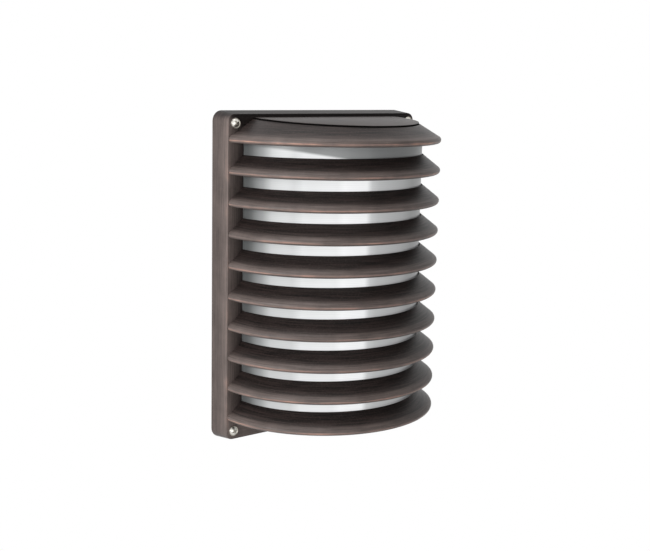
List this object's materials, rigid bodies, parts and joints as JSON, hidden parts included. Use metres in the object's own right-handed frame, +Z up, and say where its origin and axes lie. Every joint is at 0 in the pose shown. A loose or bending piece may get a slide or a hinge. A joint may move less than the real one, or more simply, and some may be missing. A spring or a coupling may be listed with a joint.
{
  "type": "outdoor wall light",
  "caption": "Louvred half-round outdoor wall light with an opal diffuser and an E27 lampholder on a back tray",
  "frame": {"origin": "middle of the back face, on the wall plane", "axes": "+X right as seen from the front, +Y into the wall, +Z up; the front faces -Y"},
  "size_m": [0.193, 0.11, 0.26],
  "materials": {
    "cast_paint": "satin",
    "tray_paint": "matte",
    "opal_plastic": "satin",
    "seal_rubber": "matte",
    "gasket_foam": "matte",
    "white_sheet": "gloss",
    "zinc_steel": "satin",
    "stainless": "polished",
    "porcelain": "gloss",
    "brass": "satin",
    "terminal_plastic": "matte",
    "brown_insulation": "satin",
    "blue_insulation": "satin",
    "green_yellow_insulation": "satin",
    "lamp_opal": "satin",
    "lamp_white": "satin",
    "lamp_cap_metal": "satin",
    "lamp_insulator_black": "gloss"
  },
  "bodies": {
    "base": {"wall_gasket": "gasket_foam", "back_tray": "tray_paint", "rim_seal": "seal_rubber", "cable_grommet": "seal_rubber", "reflector": "white_sheet", "reflector_screw": "zinc_steel", "wire_grommet": "seal_rubber", "holder_bracket": "zinc_steel", "bracket_screws": "zinc_steel", "lampholder_body": "porcelain", "lampholder_shell": "brass", "lampholder_contact": "brass", "holder_screws": "zinc_steel", "terminal_block": "terminal_plastic", "terminal_inserts": "brass", "terminal_screws": "zinc_steel", "terminal_fixing_screw": "zinc_steel", "earth_screw": "brass", "earth_tag": "zinc_steel", "live_wire": "brown_insulation", "neutral_wire": "blue_insulation", "earth_wire": "green_yellow_insulation"},
    "cover": {"cover_frame": "cast_paint", "top_louvre": "cast_paint", "louvres": "cast_paint", "diffuser": "opal_plastic", "diffuser_seal": "seal_rubber", "diffuser_clips": "zinc_steel", "clip_screws": "zinc_steel", "cover_screws": "stainless", "screw_seals": "seal_rubber"},
    "lamp": {"lamp_globe": "lamp_opal", "lamp_housing": "lamp_white", "lamp_cap": "lamp_cap_metal", "lamp_insulator": "lamp_insulator_black", "lamp_contact": "zinc_steel"}
  },
  "joints": [
    {"name": "cover_release", "type": "slide", "parent": "base", "child": "cover", "axis": [0, -1, 0], "range_m": [0, 0.12]},
    {"name": "lamp_withdrawal", "type": "slide", "parent": "base", "child": "lamp", "axis": [0, 0, -1], "range_m": [0, 0.035]}
  ]
}
